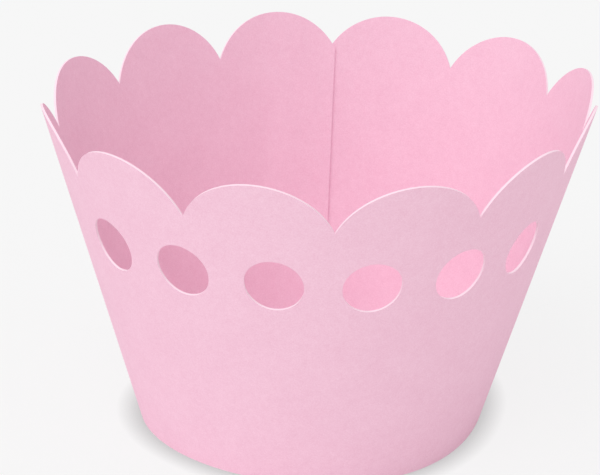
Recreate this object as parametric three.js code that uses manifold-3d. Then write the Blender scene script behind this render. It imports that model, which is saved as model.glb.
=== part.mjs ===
// Cupcake wrapper: one die-cut blank of thin card, rolled into a cone and glued along a lap.
// Millimetres, +Z up. It stands on its narrow rim at z = 0, with its front towards -Y and the
// glued lap at the back. The origin is the middle of its footprint box, on the table.
import * as THREE from 'three';
import Module from 'manifold-3d';

// Driving sizes in millimetres and degrees. An azimuth is 0 at the front and grows towards +X.
const CARD = 0.32; // thickness of the card
const FOOT_RADIUS = 26; // mean outside radius of the narrow rim
const HALF_ANGLE = 16.3; // mean lean of the wall away from upright
const VALLEY_HEIGHT = 42.5; // height of the notches between the scallops
const OVAL_SWING = 1.08; // hand-rolled card isn't round: lean added where it is widest
const OVAL_AZIMUTH = -35.5; // one end of the widest line across
const EGG_SWING = 0.5; // lean added three times round, which makes the oval lopsided
const EGG_AZIMUTH = 28.5;
const SCALLOPS = 12; // scallops in one turn
const SCALLOP_RISE = 7.2; // crown of a scallop above the straight line between its notches
const SEAM_SLIP = 2; // the outline overlaps itself by this much, so the notch at the lap is shallow
const END_INSET = 0.6; // the inner end is cut this far before its last notch
const LAP = 7; // width of the glued lap
const LAP_RAMP = 6; // length in which the inner end steps in behind the outer one
const GLUE = 0.05; // film of glue between the two layers
const GLUE_MARGIN = 1; // the film stays this far from the edges of the lap
const GLUE_SOAK = 0.02; // how far the glue soaks into each layer
const HOLES = 6; // round holes in a row across the front
const HOLE_DIAMETER = 8;
const HOLE_PITCH = 13; // from hole to hole along the row
const HOLE_HEIGHT = 33.8; // height of the hole centres above the table
const HOLE_SHIFT = 1.1; // the row sits this far left of the front notch

// Fineness of the faceted solid
const TABLE_STEPS = 1440; // azimuth steps used to unroll the cone
const SCALLOP_COLUMNS = 16; // facets across one scallop
const GLUE_COLUMNS = 6;
const HOLE_SIDES = 40;
const PUNCH_REACH = 1; // the hole punch runs this far past each face

const rad = THREE.MathUtils.degToRad;
const apex = new THREE.Vector3(0, 0, -FOOT_RADIUS / Math.tan(rad(HALF_ANGLE)));

// Lean of the wall at one azimuth: round, plus the oval and the lopsided part
function lean(azimuth) {
  const oval = OVAL_SWING * Math.cos(2 * (azimuth - rad(OVAL_AZIMUTH)));
  const egg = EGG_SWING * Math.cos(3 * (azimuth - rad(EGG_AZIMUTH)));
  return rad(HALF_ANGLE + oval + egg);
}

// Rolled card stays straight one way: this is the direction of its straight line at one azimuth
function straightLine(azimuth) {
  const angle = lean(azimuth);
  const side = Math.sin(angle);
  return new THREE.Vector3(side * Math.sin(azimuth), -side * Math.cos(azimuth), Math.cos(angle));
}

// Unroll the cone: the flat blank opens by the angle between neighbouring straight lines
const flatAngles = [0];
for (let i = 1; i <= TABLE_STEPS; i += 1) {
  const before = straightLine((2 * Math.PI * (i - 1)) / TABLE_STEPS);
  const here = straightLine((2 * Math.PI * i) / TABLE_STEPS);
  flatAngles.push(flatAngles[i - 1] + before.angleTo(here));
}
const turn = flatAngles[TABLE_STEPS];

// Azimuth at which a flat angle of the blank ends up once it is rolled
function azimuthOf(flat) {
  const turns = Math.floor(flat / turn);
  const rest = flat - turns * turn;
  const above = Math.max(1, flatAngles.findIndex((angle) => angle >= rest));
  const part = (rest - flatAngles[above - 1]) / (flatAngles[above] - flatAngles[above - 1]);
  return 2 * Math.PI * (turns + (above - 1 + part) / TABLE_STEPS);
}

// Straight line and outward normal of the rolled card at a flat angle
function frameAt(flat) {
  const azimuth = azimuthOf(flat);
  const nudge = Math.PI / TABLE_STEPS;
  const line = straightLine(azimuth);
  const around = straightLine(azimuth + nudge).sub(straightLine(azimuth - nudge));
  const outward = new THREE.Vector3().crossVectors(around, line).normalize();
  return { line, outward };
}

// Point of the rolled card: flat angle, distance from the apex, and offset out from the outer face
function onCard(flat, reach, offset) {
  const { line, outward } = frameAt(flat);
  return apex.clone().addScaledVector(line, reach).addScaledVector(outward, offset);
}

// Distance from the apex at which the card meets the table, so that the narrow rim is level
function footReach(flat, offset) {
  const { line, outward } = frameAt(flat);
  return (-apex.z - offset * outward.z) / line.z;
}

// Each scallop is a true circular arc of the flat blank, between two notches
const valleyReach = (VALLEY_HEIGHT - apex.z) / Math.cos(rad(HALF_ANGLE));
const pitch = (turn + SEAM_SLIP / valleyReach) / SCALLOPS;
const halfChord = valleyReach * Math.sin(pitch / 2);
const arcRadius = (halfChord ** 2 + SCALLOP_RISE ** 2) / (2 * SCALLOP_RISE);
const arcCentre = valleyReach * Math.cos(pitch / 2) + SCALLOP_RISE - arcRadius;

function scallopReach(flat) {
  const offMiddle = flat - (Math.floor(flat / pitch) + 0.5) * pitch;
  const across = arcCentre * Math.sin(offMiddle);
  return arcCentre * Math.cos(offMiddle) + Math.sqrt(arcRadius ** 2 - across ** 2);
}

// The blank runs from its inner end, left of the seam, round the front to its outer end
const leftScallops = Math.floor(SCALLOPS / 2);
const innerEnd = END_INSET / valleyReach - leftScallops * pitch;
const lapEnd = innerEnd + LAP / valleyReach;
const outerEnd = lapEnd + turn;

// How far the card lies inside its own cone: a layer and the glue at the lap, then back to nothing
function tuckedIn(flat) {
  const past = (flat - lapEnd) * valleyReach;
  return (CARD + GLUE) * (1 - THREE.MathUtils.smoothstep(past, 0, LAP_RAMP));
}

// Closed solid through a row of loops with the same number of points, with a fan over each end
function loft(loops) {
  const size = loops[0].length;
  const vertices = loops.flat().flatMap((point) => point.toArray());
  const triangles = [];
  for (let i = 0; i + 1 < loops.length; i += 1) {
    for (let j = 0; j < size; j += 1) {
      const here = i * size + j;
      const next = i * size + ((j + 1) % size);
      triangles.push(here, here + size, next + size);
      triangles.push(here, next + size, next);
    }
  }
  const last = (loops.length - 1) * size;
  for (let j = 1; j + 1 < size; j += 1) {
    triangles.push(0, j, j + 1);
    triangles.push(last, last + j + 1, last + j);
  }
  return { vertices, triangles };
}

// Flat angles of the facets: even steps along each scallop's arc, and the two cut ends
function blankColumns() {
  const sweep = Math.asin(halfChord / arcRadius);
  const clear = (2 * sweep * arcRadius) / SCALLOP_COLUMNS / valleyReach / 4;
  const columns = [innerEnd];
  for (let k = -leftScallops; k * pitch < outerEnd; k += 1) {
    for (let i = 0; i < SCALLOP_COLUMNS; i += 1) {
      const turned = sweep * ((2 * i) / SCALLOP_COLUMNS - 1);
      const across = arcRadius * Math.sin(turned);
      const up = arcCentre + arcRadius * Math.cos(turned);
      const flat = (k + 0.5) * pitch + Math.atan2(across, up);
      if (flat > innerEnd + clear && flat < outerEnd - clear) columns.push(flat);
    }
  }
  columns.push(outerEnd);
  return columns;
}

// The blank, rolled up: outer foot, outer edge, inner edge and inner foot at every column
function rolledBlank() {
  return loft(blankColumns().map((flat) => {
    const outer = -tuckedIn(flat);
    const inner = outer - CARD;
    const top = scallopReach(flat);
    return [
      onCard(flat, footReach(flat, outer), outer),
      onCard(flat, top, outer),
      onCard(flat, top, inner),
      onCard(flat, footReach(flat, inner), inner),
    ];
  }));
}

// Film of glue that joins the two layers of the lap
function glueFilm() {
  const margin = GLUE_MARGIN / valleyReach;
  const outer = GLUE_SOAK - CARD;
  const inner = -CARD - GLUE - GLUE_SOAK;
  const loops = [];
  for (let i = 0; i <= GLUE_COLUMNS; i += 1) {
    const flat = THREE.MathUtils.lerp(innerEnd + margin, lapEnd - margin, i / GLUE_COLUMNS);
    const low = footReach(flat, outer) + GLUE_MARGIN;
    const high = valleyReach - GLUE_MARGIN;
    loops.push([
      onCard(flat, low, outer),
      onCard(flat, high, outer),
      onCard(flat, high, inner),
      onCard(flat, low, inner),
    ]);
  }
  return loft(loops);
}

// Punch for one hole, a circle of the flat blank pushed through the card
const holeReach = (HOLE_HEIGHT - apex.z) / Math.cos(rad(HALF_ANGLE));

function holePunch(index) {
  const middle = ((index - (HOLES - 1) / 2) * HOLE_PITCH - HOLE_SHIFT) / holeReach;
  return loft([PUNCH_REACH, -CARD - PUNCH_REACH].map((offset) => {
    const ring = [];
    for (let i = 0; i < HOLE_SIDES; i += 1) {
      const around = (2 * Math.PI * i) / HOLE_SIDES;
      const across = (HOLE_DIAMETER / 2) * Math.cos(around);
      const up = holeReach + (HOLE_DIAMETER / 2) * Math.sin(around);
      ring.push(onCard(middle + Math.atan2(across, up), Math.hypot(across, up), offset));
    }
    return ring;
  }));
}

// Join the film, cut the holes
const wasm = await Module();
wasm.setup();

function solid({ vertices, triangles }) {
  const mesh = new wasm.Mesh({
    numProp: 3,
    vertProperties: new Float32Array(vertices),
    triVerts: new Uint32Array(triangles),
  });
  return new wasm.Manifold(mesh);
}

let wrapperSolid = solid(rolledBlank()).add(solid(glueFilm()));
for (let i = 0; i < HOLES; i += 1) {
  wrapperSolid = wrapperSolid.subtract(solid(holePunch(i)));
}

// Back to a geometry, standing on the middle of its own footprint
const cut = wrapperSolid.getMesh();
const geometry = new THREE.BufferGeometry();
geometry.setAttribute('position', new THREE.BufferAttribute(new Float32Array(cut.vertProperties), 3));
geometry.setIndex([...cut.triVerts]);
geometry.computeBoundingBox();
const middle = geometry.boundingBox.getCenter(new THREE.Vector3());
geometry.translate(-middle.x, -middle.y, 0);
geometry.computeVertexNormals();

const material = new THREE.MeshStandardMaterial({ color: 0xf3bfd6, roughness: 0.85, metalness: 0 });
const wrapper = new THREE.Mesh(geometry, material);
wrapper.name = 'wrapper';

const cupcakeWrapper = new THREE.Group();
cupcakeWrapper.add(wrapper);

export default cupcakeWrapper;
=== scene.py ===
# %% [markdown]
# A paper cupcake wrapper, made from one piece of thin pink card.
#
# On the real object a flat, curved blank is die cut with a scalloped edge and a row of round holes.
# It is then rolled up and glued along a lap. Card bends easily one way only, so the rolled wall is
# straight along lines that all run to one point, the apex, far under the table.
#
# We follow the same order: work out the flat blank, roll it, give it the card's thickness, punch
# the holes, and then finish the surface and light it. Lengths are in metres.

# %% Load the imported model
import bisect
import math

import bpy
from mathutils import Matrix, Vector


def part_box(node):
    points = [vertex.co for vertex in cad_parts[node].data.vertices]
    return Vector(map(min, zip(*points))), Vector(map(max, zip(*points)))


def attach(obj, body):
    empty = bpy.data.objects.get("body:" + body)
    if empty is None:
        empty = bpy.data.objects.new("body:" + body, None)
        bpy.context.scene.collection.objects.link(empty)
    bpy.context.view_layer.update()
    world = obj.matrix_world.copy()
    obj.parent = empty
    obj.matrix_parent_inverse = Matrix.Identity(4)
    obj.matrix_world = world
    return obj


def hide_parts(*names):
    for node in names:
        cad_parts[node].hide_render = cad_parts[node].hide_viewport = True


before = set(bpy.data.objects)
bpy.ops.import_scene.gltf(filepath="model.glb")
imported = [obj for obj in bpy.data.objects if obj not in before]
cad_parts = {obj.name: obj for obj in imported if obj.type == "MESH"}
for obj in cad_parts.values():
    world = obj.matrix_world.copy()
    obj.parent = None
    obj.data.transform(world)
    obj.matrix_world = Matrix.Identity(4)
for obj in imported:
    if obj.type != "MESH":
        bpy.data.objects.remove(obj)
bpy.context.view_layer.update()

MM = 0.001

# %% [markdown]
# ## Sizes of the card
#
# These are the same driving sizes as in the CAD source. A hand-rolled wrapper is never quite round:
# its lean swings a little, twice round for the oval and three times round for the lopsided part.
# An azimuth is 0 at the front and grows towards +X.

# %% Name the sizes
CARD = 0.32 * MM
FOOT_RADIUS = 26 * MM
HALF_ANGLE = math.radians(16.3)
VALLEY_HEIGHT = 42.5 * MM
OVAL_SWING = math.radians(1.08)
OVAL_AZIMUTH = math.radians(-35.5)
EGG_SWING = math.radians(0.5)
EGG_AZIMUTH = math.radians(28.5)
SCALLOPS = 12
SCALLOP_RISE = 7.2 * MM
SEAM_SLIP = 2 * MM
END_INSET = 0.6 * MM
LAP = 7 * MM
LAP_RAMP = 6 * MM
GLUE = 0.05 * MM
HOLES = 6
HOLE_DIAMETER = 8 * MM
HOLE_PITCH = 13 * MM
HOLE_HEIGHT = 33.8 * MM
HOLE_SHIFT = 1.1 * MM
TABLE_STEPS = 1440

# %% [markdown]
# ## The cone and its straight lines
#
# A perfect cone would need one formula. Ours has a lean that changes with the azimuth, so we add up
# the small angles between neighbouring straight lines. That sum is the angle in the flat blank,
# and reading the table backwards tells where a point of the blank ends up after rolling.

# %% Lean, straight lines and the unrolled angle
apex = Vector((0, 0, -FOOT_RADIUS / math.tan(HALF_ANGLE)))


def lean(azimuth):
    oval = OVAL_SWING * math.cos(2 * (azimuth - OVAL_AZIMUTH))
    egg = EGG_SWING * math.cos(3 * (azimuth - EGG_AZIMUTH))
    return HALF_ANGLE + oval + egg


def straight_line(azimuth):
    angle = lean(azimuth)
    side = math.sin(angle)
    return Vector((side * math.sin(azimuth), -side * math.cos(azimuth), math.cos(angle)))


flat_angles = [0.0]
for i in range(TABLE_STEPS):
    before = straight_line(math.tau * i / TABLE_STEPS)
    here = straight_line(math.tau * (i + 1) / TABLE_STEPS)
    chord = (here - before).length
    flat_angles.append(flat_angles[-1] + 2 * math.asin(chord / 2))
turn = flat_angles[-1]
print("the flat blank opens by", round(math.degrees(turn), 2), "degrees in one turn")


# %% Roll a point of the blank
def azimuth_of(flat):
    turns, rest = divmod(flat, turn)
    above = min(max(bisect.bisect_left(flat_angles, rest), 1), TABLE_STEPS)
    low, high = flat_angles[above - 1], flat_angles[above]
    return math.tau * (turns + (above - 1 + (rest - low) / (high - low)) / TABLE_STEPS)


def frame_at(flat):
    azimuth = azimuth_of(flat)
    nudge = math.pi / TABLE_STEPS
    line = straight_line(azimuth)
    around = straight_line(azimuth + nudge) - straight_line(azimuth - nudge)
    return line, around.cross(line).normalized()


def on_card(flat, reach, offset):
    line, outward = frame_at(flat)
    return apex + line * reach + outward * offset


def foot_reach(flat, offset):
    line, outward = frame_at(flat)
    return (-apex.z - offset * outward.z) / line.z


# %% [markdown]
# ## Scallops and the lap
#
# Each scallop is cut with a round edge, so it is a true circular arc of the flat blank, standing
# between two notches. The blank is a little longer than one turn. Its inner end is tucked behind
# the outer end over a short ramp, which gives the lap two real layers.

# %% Scallop arcs and the two ends
valley_reach = (VALLEY_HEIGHT - apex.z) / math.cos(HALF_ANGLE)
pitch = (turn + SEAM_SLIP / valley_reach) / SCALLOPS
half_chord = valley_reach * math.sin(pitch / 2)
arc_radius = (half_chord ** 2 + SCALLOP_RISE ** 2) / (2 * SCALLOP_RISE)
arc_centre = valley_reach * math.cos(pitch / 2) + SCALLOP_RISE - arc_radius
left_scallops = SCALLOPS // 2
inner_end = END_INSET / valley_reach - left_scallops * pitch
lap_end = inner_end + LAP / valley_reach
outer_end = lap_end + turn


def scallop_reach(flat):
    off_middle = flat - (math.floor(flat / pitch) + 0.5) * pitch
    across = arc_centre * math.sin(off_middle)
    return arc_centre * math.cos(off_middle) + math.sqrt(arc_radius ** 2 - across ** 2)


def tucked_in(flat):
    part = min(max((flat - lap_end) * valley_reach / LAP_RAMP, 0), 1)
    return (CARD + GLUE) * (1 - part * part * (3 - 2 * part))


print("one scallop spans", round(2 * half_chord / MM, 2), "mm between its notches")

# %% [markdown]
# ## Roll the blank as a sheet
#
# The sheet is a grid: columns follow the straight lines of the card and are spaced evenly along
# every scallop's arc, so each notch stays sharp. Rows run from the foot to the edge. Every vertex
# also keeps a vector through the card to the inner face. The node tree needs it for the thickness.

# %% Columns of the grid
COLUMNS_PER_SCALLOP = 28
ROWS = 30


def blank_columns():
    sweep = math.asin(half_chord / arc_radius)
    clear = pitch / COLUMNS_PER_SCALLOP / 4
    columns = [inner_end]
    for k in range(-left_scallops, math.ceil(outer_end / pitch)):
        for i in range(COLUMNS_PER_SCALLOP):
            turned = sweep * (2 * i / COLUMNS_PER_SCALLOP - 1)
            across = arc_radius * math.sin(turned)
            up = arc_centre + arc_radius * math.cos(turned)
            flat = (k + 0.5) * pitch + math.atan2(across, up)
            if inner_end + clear < flat < outer_end - clear:
                columns.append(flat)
    return columns + [outer_end]


# %% The rolled sheet
def rolled_sheet():
    points, through, quads = [], [], []
    columns = blank_columns()
    for flat in columns:
        outer = -tucked_in(flat)
        top = scallop_reach(flat)
        low_out, low_in = foot_reach(flat, outer), foot_reach(flat, outer - CARD)
        for j in range(ROWS + 1):
            part = j / ROWS
            out_point = on_card(flat, low_out + (top - low_out) * part, outer)
            in_point = on_card(flat, low_in + (top - low_in) * part, outer - CARD)
            points.append(out_point)
            through.append((in_point - out_point) / CARD)
    for i in range(len(columns) - 1):
        for j in range(ROWS):
            a = i * (ROWS + 1) + j
            b = a + ROWS + 1
            quads.append((a, b, b + 1, a + 1))
    mesh = bpy.data.meshes.new("rolled_card")
    mesh.from_pydata(points, [], quads)
    store = mesh.attributes.new("through", "FLOAT_VECTOR", "POINT")
    store.data.foreach_set("vector", [c for vector in through for c in vector])
    return mesh


sheet = rolled_sheet()
wrapper = bpy.data.objects.new("cupcake_wrapper", sheet)
bpy.context.scene.collection.objects.link(wrapper)
print("the rolled sheet has", len(sheet.polygons), "quads")

# %% [markdown]
# ## Where the holes go
#
# The six holes sit in one row of the flat blank. One point marks the middle of each, and a stored
# vector says which way the punch goes through the rolled card.

# %% Mark the holes
hole_reach = (HOLE_HEIGHT - apex.z) / math.cos(HALF_ANGLE)
marks = []
aims = []
for i in range(HOLES):
    flat = ((i - (HOLES - 1) / 2) * HOLE_PITCH - HOLE_SHIFT) / hole_reach
    marks.append(on_card(flat, hole_reach, 0))
    aims.append(frame_at(flat)[1])

mark_mesh = bpy.data.meshes.new("hole_marks")
mark_mesh.from_pydata(marks, [], [])
aim_store = mark_mesh.attributes.new("aim", "FLOAT_VECTOR", "POINT")
aim_store.data.foreach_set("vector", [c for vector in aims for c in vector])
hole_marks = bpy.data.objects.new("hole_marks", mark_mesh)
bpy.context.scene.collection.objects.link(hole_marks)
print("hole middles in mm:", [[round(c / MM, 1) for c in mark] for mark in marks])

# %% [markdown]
# ## Shader maths in plain Python
#
# Nodes are easier to read as expressions. This small class wraps a socket, so that
# `grain * 0.5 + 0.2` adds the Math nodes that it needs. One method adds any other node.

# %% A socket that can be used in sums


class Link:
    def __init__(self, tree, socket):
        self.tree = tree
        self.socket = socket

    def maths(self, operation, first, second):
        node = self.tree.nodes.new("ShaderNodeMath")
        node.operation = operation
        for socket, value in zip(node.inputs, (first, second)):
            feed(self.tree, socket, value)
        return Link(self.tree, node.outputs[0])

    def __add__(self, other):
        return self.maths("ADD", self, other)

    def __radd__(self, other):
        return self.maths("ADD", other, self)

    def __sub__(self, other):
        return self.maths("SUBTRACT", self, other)

    def __rsub__(self, other):
        return self.maths("SUBTRACT", other, self)

    def __mul__(self, other):
        return self.maths("MULTIPLY", self, other)

    def __rmul__(self, other):
        return self.maths("MULTIPLY", other, self)

    def at_most(self, other):
        return self.maths("MINIMUM", self, other)


def feed(tree, socket, value):
    if isinstance(value, Link):
        tree.links.new(value.socket, socket)
    else:
        socket.default_value = value


class Maker:
    """Adds nodes to one tree."""

    def __init__(self, tree):
        self.tree = tree
        tree.nodes.clear()

    def node(self, kind, settings=None, values=None, output=0):
        node = self.tree.nodes.new(kind)
        for name, setting in (settings or {}).items():
            setattr(node, name, setting)
        for name, value in (values or {}).items():
            feed(self.tree, node.inputs[name], value)
        return Link(self.tree, node.outputs[output]) if node.outputs else None


# %% [markdown]
# ## The finish of the card
#
# The real card is matt and dyed through, with a fine paper grain. Pressed pulp is never quite even,
# so three noises from soft to fine change its colour a little, and the two finer ones also raise
# the surface. One flat colour would look like plastic. Where the die has cut through, the open
# fibres are a little paler, and the cut faces are made paler still: a painted highlight along the
# lit rim and the lower edges of the holes.
# The patterns read Object coordinates, so they stay on the card.

# %% Card material
CARD_PINK = (0.970, 0.655, 0.780, 1)
CARD_PINK_DEEP = (0.860, 0.500, 0.638, 1)
# Cut faces: open fibres a little paler, made paler still as a painted highlight.
CUT_PINK_WITH_PAINTED_HIGHLIGHT = (0.955, 0.725, 0.82, 1)
CLOUD_SIZE_MM = 6
MOTTLE_SIZE_MM = 0.9
FIBRE_SIZE_MM = 0.2
GRAIN_CONTRAST = 2.2
GRAIN_HEIGHT = 0.03 * MM
ROUGHNESS_LEAST = 0.78
ROUGHNESS_SPREAD = 0.14


def card_material():
    material = bpy.data.materials.new("pink_card")
    material.use_nodes = True
    make = Maker(material.node_tree)
    place = make.node("ShaderNodeTexCoord", output="Object")

    def noise(size_mm, detail):
        return make.node("ShaderNodeTexNoise", {}, {
            "Vector": place, "Scale": 1 / (size_mm * MM), "Detail": detail, "Roughness": 0.55,
        })

    cloud = noise(CLOUD_SIZE_MM, 2)
    mottle = noise(MOTTLE_SIZE_MM, 3)
    fibre = noise(FIBRE_SIZE_MM, 4)
    is_cut = make.node("ShaderNodeAttribute", {"attribute_name": "cut"}, output="Fac")
    shade = (cloud * 0.15 + mottle * 0.25 + fibre * 0.6 - 0.5) * GRAIN_CONTRAST + 0.5
    face_colour = make.node("ShaderNodeMix", {"data_type": "RGBA"}, {
        0: shade, 6: CARD_PINK_DEEP, 7: CARD_PINK,
    }, output=2)
    # The cut faces take the paler pink, partly a painted highlight on the lit rim and hole edges.
    colour = make.node("ShaderNodeMix", {"data_type": "RGBA"}, {
        0: is_cut, 6: face_colour, 7: CUT_PINK_WITH_PAINTED_HIGHLIGHT,
    }, output=2)
    grain = make.node("ShaderNodeBump", {}, {
        "Height": mottle * 0.4 + fibre * 0.6, "Strength": 0.9, "Distance": GRAIN_HEIGHT,
    })
    shader = make.node("ShaderNodeBsdfPrincipled", {}, {
        "Base Color": colour,
        "Roughness": ROUGHNESS_LEAST + mottle * ROUGHNESS_SPREAD,
        "Normal": grain,
        "Specular IOR Level": 0.3,
    })
    make.node("ShaderNodeOutputMaterial", {}, {"Surface": shader})
    return material


pink_card = card_material()
print("made material", pink_card.name, "with", len(pink_card.node_tree.nodes), "nodes")

# %% [markdown]
# ## Thickness and punched holes with Geometry Nodes
#
# A real blank gets its outline and holes from steel dies. The tree does the same in three steps.
# It copies the sheet through the card and closes the rim, which gives a solid of even thickness.
# It puts a round punch on every hole mark, and cuts the punches out. The faces that a die leaves
# are stored as an attribute, so that the material can show the paler cut, which is partly a painted
# highlight.

# %% Inputs of the tree
SEAM_MERGE = 0.001 * MM
tree = bpy.data.node_groups.new("die_cut_card", "GeometryNodeTree")
tree.interface.new_socket("Geometry", in_out="INPUT", socket_type="NodeSocketGeometry")
for name, kind in (
    ("Card thickness", "NodeSocketFloat"),
    ("Hole diameter", "NodeSocketFloat"),
    ("Punch length", "NodeSocketFloat"),
    ("Punch sides", "NodeSocketInt"),
    ("Hole marks", "NodeSocketObject"),
    ("Card material", "NodeSocketMaterial"),
):
    tree.interface.new_socket(name, in_out="INPUT", socket_type=kind)
tree.interface.new_socket("Geometry", in_out="OUTPUT", socket_type="NodeSocketGeometry")
make = Maker(tree)
group_input = tree.nodes.new("NodeGroupInput")
given = {socket.name: Link(tree, socket) for socket in group_input.outputs if socket.name}


# %% Solid card from the sheet
def stored(name, kind, geometry, value, domain, selection=True):
    return make.node("GeometryNodeStoreNamedAttribute", {"data_type": kind, "domain": domain}, {
        "Geometry": geometry, "Name": name, "Value": value, "Selection": selection,
    })


def named_vector(name):
    return make.node("GeometryNodeInputNamedAttribute", {"data_type": "FLOAT_VECTOR"}, {"Name": name})


outer_sheet = stored("cut", "FLOAT", given["Geometry"], 0.0, "FACE")
extrude = tree.nodes.new("GeometryNodeExtrudeMesh")
feed(tree, extrude.inputs["Mesh"], outer_sheet)
feed(tree, extrude.inputs["Offset Scale"], 0.0)
feed(tree, extrude.inputs["Individual"], False)
through_card = make.node("ShaderNodeVectorMath", {"operation": "SCALE"}, {
    0: named_vector("through"), "Scale": given["Card thickness"],
})
inner_top = make.node("GeometryNodeSetPosition", {}, {
    "Geometry": Link(tree, extrude.outputs["Mesh"]),
    "Selection": Link(tree, extrude.outputs["Top"]),
    "Offset": through_card,
})
rim_marked = stored("cut", "FLOAT", inner_top, 1.0, "FACE", Link(tree, extrude.outputs["Side"]))
inner_layer = make.node("GeometryNodeFlipFaces", {}, {"Mesh": rim_marked})
join = tree.nodes.new("GeometryNodeJoinGeometry")
feed(tree, join.inputs[0], inner_layer)
feed(tree, join.inputs[0], outer_sheet)
solid_card = make.node("GeometryNodeMergeByDistance", {}, {
    "Geometry": Link(tree, join.outputs[0]), "Distance": SEAM_MERGE,
})

# %% Punch the holes
punch = make.node("GeometryNodeMeshCylinder", {}, {
    "Vertices": given["Punch sides"],
    "Radius": given["Hole diameter"] * 0.5,
    "Depth": given["Punch length"],
})
marks_in = make.node("GeometryNodeObjectInfo", {"transform_space": "ORIGINAL"}, {
    "Object": given["Hole marks"],
}, output="Geometry")
turned = make.node("FunctionNodeAlignRotationToVector", {"axis": "Z"}, {
    "Vector": named_vector("aim"),
})
punches = make.node("GeometryNodeInstanceOnPoints", {}, {
    "Points": marks_in, "Instance": punch, "Rotation": turned,
})
real_punches = make.node("GeometryNodeRealizeInstances", {}, {"Geometry": punches})
marked_punches = stored("cut", "FLOAT", real_punches, 1.0, "FACE")
cutter = tree.nodes.new("GeometryNodeMeshBoolean")
cutter.operation = "DIFFERENCE"
cutter.solver = "EXACT"
feed(tree, cutter.inputs["Mesh 1"], solid_card)
feed(tree, cutter.inputs["Mesh 2"], marked_punches)
whole = make.node("GeometryNodeRealizeInstances", {}, {"Geometry": Link(tree, cutter.outputs[0])})
finished = make.node("GeometryNodeSetMaterial", {}, {
    "Geometry": whole, "Material": given["Card material"],
})
group_output = tree.nodes.new("NodeGroupOutput")
feed(tree, group_output.inputs["Geometry"], finished)
print("the tree has", len(tree.nodes), "nodes")

# %% Run the tree and keep a plain mesh
SMOOTH_BELOW = math.radians(40)
PUNCH_LENGTH = 6 * MM
PUNCH_SIDES = 72
modifier = wrapper.modifiers.new("die cut card", "NODES")
modifier.node_group = tree
tree_inputs = {
    "Card thickness": CARD,
    "Hole diameter": HOLE_DIAMETER,
    "Punch length": PUNCH_LENGTH,
    "Punch sides": PUNCH_SIDES,
    "Hole marks": hole_marks,
    "Card material": pink_card,
}
for item in tree.interface.items_tree:
    if item.in_out == "INPUT" and item.name in tree_inputs:
        modifier[item.identifier] = tree_inputs[item.name]

depsgraph = bpy.context.evaluated_depsgraph_get()
card_mesh = bpy.data.meshes.new_from_object(wrapper.evaluated_get(depsgraph), depsgraph=depsgraph)
wrapper.modifiers.clear()
wrapper.data = card_mesh
bpy.data.meshes.remove(sheet)
bpy.data.objects.remove(hole_marks)
card_mesh.shade_smooth()
card_mesh.set_sharp_from_angle(angle=SMOOTH_BELOW)
print("the finished card has", len(card_mesh.vertices), "vertices")

# %% [markdown]
# ## Stand it where the CAD part stands
#
# The formulas put the apex on the Z axis, while the CAD model is centred on its own footprint.
# The mesh is moved by the difference, so the object itself stays at the origin.

low = [min(v.co[axis] for v in card_mesh.vertices) for axis in range(2)]
high = [max(v.co[axis] for v in card_mesh.vertices) for axis in range(2)]
node_low, node_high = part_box("wrapper")
centring = Vector([(node_low[a] + node_high[a] - low[a] - high[a]) / 2 for a in range(2)] + [0])
for vertex in card_mesh.vertices:
    vertex.co += centring
card_mesh.update()

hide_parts("wrapper")
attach(wrapper, "root")
edge_uses = {}
for polygon in card_mesh.polygons:
    for key in polygon.edge_keys:
        edge_uses[key] = edge_uses.get(key, 0) + 1
open_edges = sum(1 for uses in edge_uses.values() if uses != 2)
print("the card has", len(card_mesh.polygons), "faces and", open_edges, "open edges")

# %% [markdown]
# ## Table and background
#
# The wrapper stands on a plain white table that runs out of sight. In such pictures the white is
# even, and only the soft contact shadow beside the foot stays. So the camera sees mostly an even
# white with a painted contact shadow: an ambient occlusion node darkens it close to the card. It
# also sees a little of the lit table. All other light meets a plain white table.

# %% Table
TABLE_WHITE = (0.88, 0.88, 0.88, 1)
BACKGROUND = 0.93
EVEN_SHARE = 0.88
CONTACT_REACH = 3.5 * MM
CONTACT_DEPTH = 0.6
CONTACT_SAMPLES = 16
TABLE_HALF_WIDTH = 6


def table_material():
    material = bpy.data.materials.new("white_table")
    material.use_nodes = True
    make = Maker(material.node_tree)
    lit = make.node("ShaderNodeBsdfPrincipled", {}, {
        "Base Color": TABLE_WHITE, "Roughness": 1.0, "Specular IOR Level": 0.0,
    })
    contact = make.node("ShaderNodeAmbientOcclusion", {"samples": CONTACT_SAMPLES}, {
        "Distance": CONTACT_REACH,
    }, output="AO")
    # Unlit white for camera rays with a painted contact shadow: the ambient occlusion dims it beside
    # the foot.
    white_with_painted_shadow = make.node("ShaderNodeEmission", {}, {
        "Strength": (contact * CONTACT_DEPTH + (1 - CONTACT_DEPTH)) * BACKGROUND,
    })
    seen = make.node("ShaderNodeLightPath", output="Is Camera Ray")
    shader = make.node("ShaderNodeMixShader", {}, {0: seen * EVEN_SHARE, 1: lit, 2: white_with_painted_shadow})
    make.node("ShaderNodeOutputMaterial", {}, {"Surface": shader})
    return material


def table(half_width):
    corners = [(-half_width, -half_width, 0), (half_width, -half_width, 0),
               (half_width, half_width, 0), (-half_width, half_width, 0)]
    mesh = bpy.data.meshes.new("table")
    mesh.from_pydata(corners, [], [(0, 1, 2, 3)])
    mesh.materials.append(table_material())
    piece = bpy.data.objects.new("table", mesh)
    bpy.context.scene.collection.objects.link(piece)
    return piece


table(TABLE_HALF_WIDTH)
print("the table is", 2 * TABLE_HALF_WIDTH, "metres wide")

# %% [markdown]
# ## Light
#
# Soft light comes from everywhere, with a wide, gentle lamp from the front left. The lamp is a sun
# with a large angle, because it lights the whole table evenly. Its direction is the line that the
# light travels along.

# %% World and lamp
SKY = 0.74
LAMP = 1.22
LAMP_FROM = Vector((-0.56, -0.70, 1.15))
LAMP_ANGLE = math.radians(50)

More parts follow.
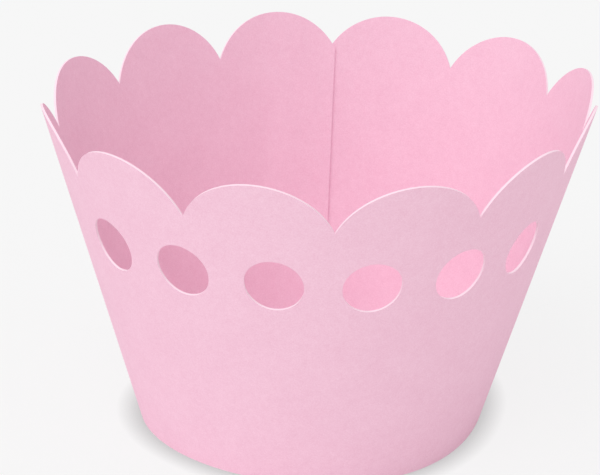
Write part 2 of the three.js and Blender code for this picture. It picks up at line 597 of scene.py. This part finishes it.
world = bpy.data.worlds.new("soft_room")
world.use_nodes = True
bpy.context.scene.world = world
make = Maker(world.node_tree)
path = world.node_tree.nodes.new("ShaderNodeLightPath")
seen = Link(world.node_tree, path.outputs["Is Camera Ray"])
for ray in ("Is Glossy Ray", "Is Transmission Ray"):
    seen = seen + Link(world.node_tree, path.outputs[ray])
sky_level = SKY + seen.at_most(1.0) * (BACKGROUND - SKY)
sky = make.node("ShaderNodeBackground", {}, {"Color": (1, 1, 1, 1), "Strength": sky_level})
make.node("ShaderNodeOutputWorld", {}, {"Surface": sky})

lamp_data = bpy.data.lights.new("window_light", "SUN")
lamp_data.energy = LAMP
lamp_data.angle = LAMP_ANGLE
lamp = bpy.data.objects.new("window_light", lamp_data)
bpy.context.scene.collection.objects.link(lamp)
lamp.rotation_euler = LAMP_FROM.to_track_quat("Z", "Y").to_euler()
print("lamp height angle:", round(math.degrees(math.asin(LAMP_FROM.normalized().z)), 1), "degrees")

# %% [markdown]
# ## Camera
#
# The camera stands a little left of straight ahead and looks down into the wrapper. Its place was
# found by matching the notches, the scallops and the sides of the cone.

# %% Camera
CAMERA_DISTANCE = 340.6 * MM
CAMERA_LIFT = math.radians(25.47)
CAMERA_SIDE = math.radians(1.72)
CAMERA_ROLL = math.radians(2.18)
AIM_SIDE = -3.71 * MM
AIM_HEIGHT = 26.30 * MM
FOCAL_PIXELS = 2265
IMAGE_WIDTH = 600
SENSOR = 36
NEAREST_SEEN = 10 * MM

away = CAMERA_DISTANCE * math.cos(CAMERA_LIFT)
stand = Vector((
    -away * math.sin(CAMERA_SIDE),
    -away * math.cos(CAMERA_SIDE),
    CAMERA_DISTANCE * math.sin(CAMERA_LIFT),
))
aim = Vector((AIM_SIDE, 0, AIM_HEIGHT))
stand = stand + centring
aim = aim + centring
camera_data = bpy.data.cameras.new("camera")
camera_data.sensor_width = SENSOR
camera_data.lens = FOCAL_PIXELS / IMAGE_WIDTH * SENSOR
camera_data.clip_start = NEAREST_SEEN
camera = bpy.data.objects.new("camera", camera_data)
bpy.context.scene.collection.objects.link(camera)
camera.location = stand
forward = (aim - stand).normalized()
level = forward.cross(Vector((0, 0, 1))).normalized()
upright = level.cross(forward)
right = level * math.cos(CAMERA_ROLL) + upright * math.sin(CAMERA_ROLL)
up = upright * math.cos(CAMERA_ROLL) - level * math.sin(CAMERA_ROLL)
camera.rotation_euler = Matrix((right, up, -forward)).transposed().to_euler()
bpy.context.scene.camera = camera
bpy.context.scene.view_settings.view_transform = "Standard"
print("lens:", round(camera_data.lens, 1), "mm on a sensor", SENSOR, "mm wide")
